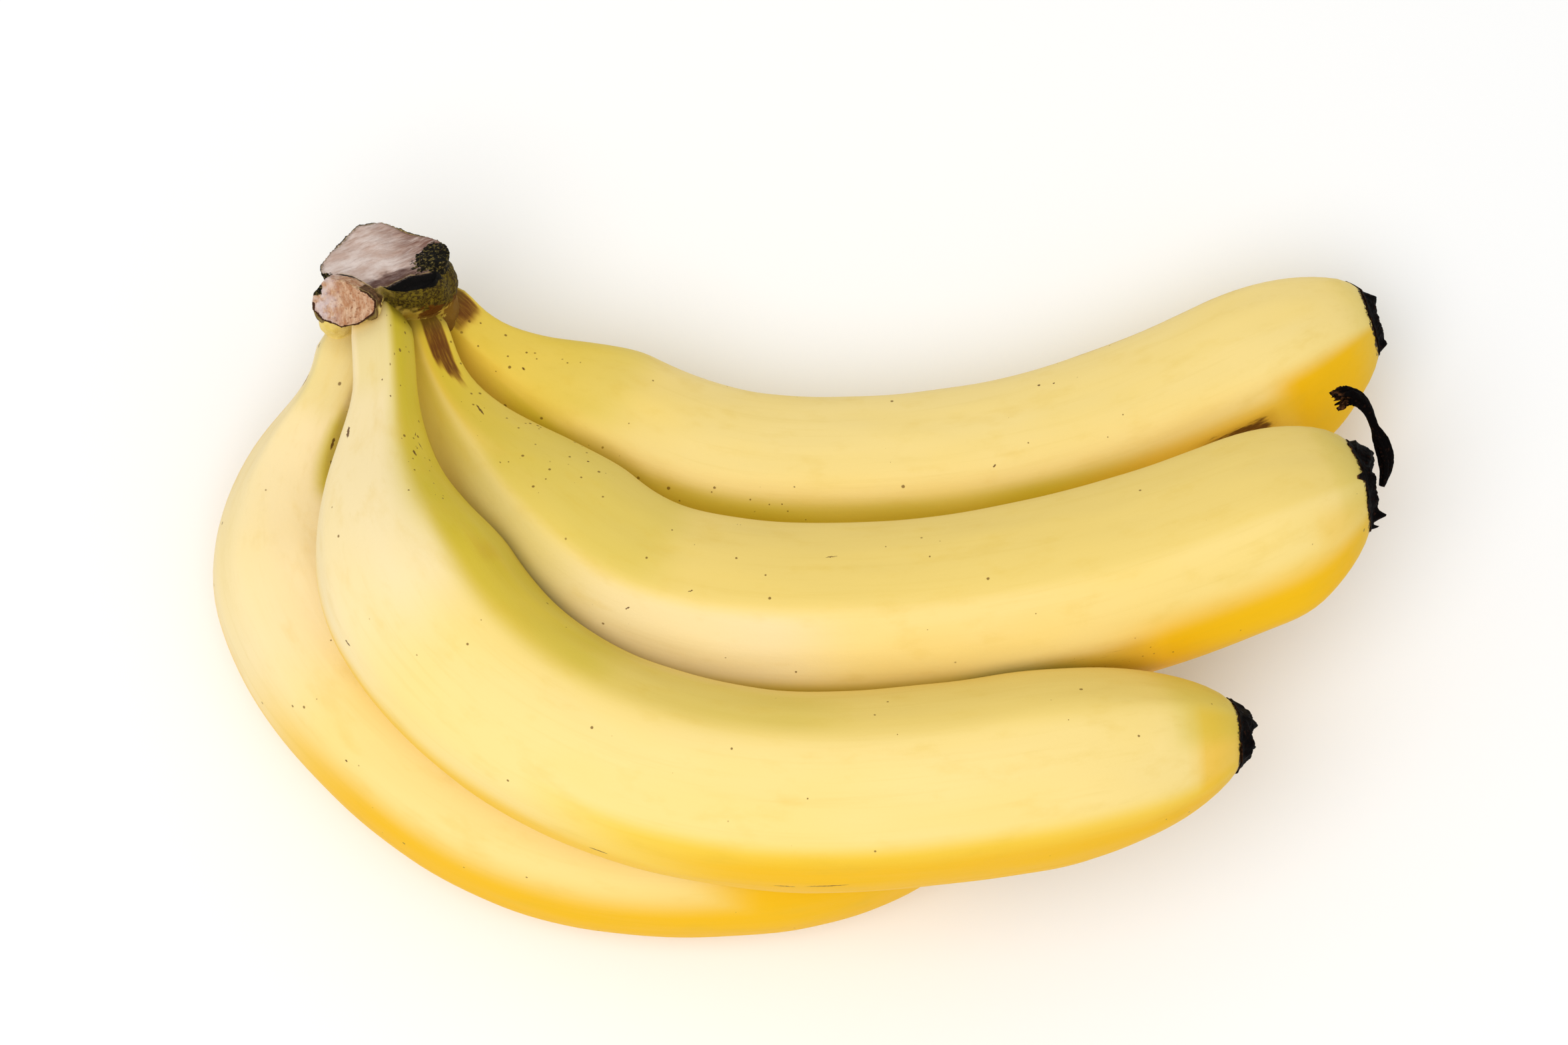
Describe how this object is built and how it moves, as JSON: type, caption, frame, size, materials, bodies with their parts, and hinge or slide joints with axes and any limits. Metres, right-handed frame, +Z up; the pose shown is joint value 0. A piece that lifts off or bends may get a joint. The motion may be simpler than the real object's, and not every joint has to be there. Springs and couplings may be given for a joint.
{
  "type": "bunch of bananas",
  "caption": "Small bunch of ripe yellow bananas lying on its side, curving away from one cut crown, with black dried blossom ends.",
  "frame": {"origin": "on the surface the bunch lies on, under the middle of its bounding box", "axes": "+X from the crown towards the blossom ends, along the bunch's longest side; +Z up from the surface; +Y towards the inside of the bananas' curve"},
  "size_m": [0.2257, 0.1316, 0.0714],
  "materials": {
    "peel": "satin",
    "dried": "matte",
    "crown": "matte"
  },
  "bodies": {
    "root": {"banana_outer": "peel", "banana_front": "peel", "banana_middle": "peel", "banana_inner": "peel", "blossom_end_outer": "dried", "blossom_end_front": "dried", "blossom_end_middle": "dried", "blossom_end_inner": "dried", "dried_flower": "dried", "crown": "crown"}
  },
  "joints": []
}
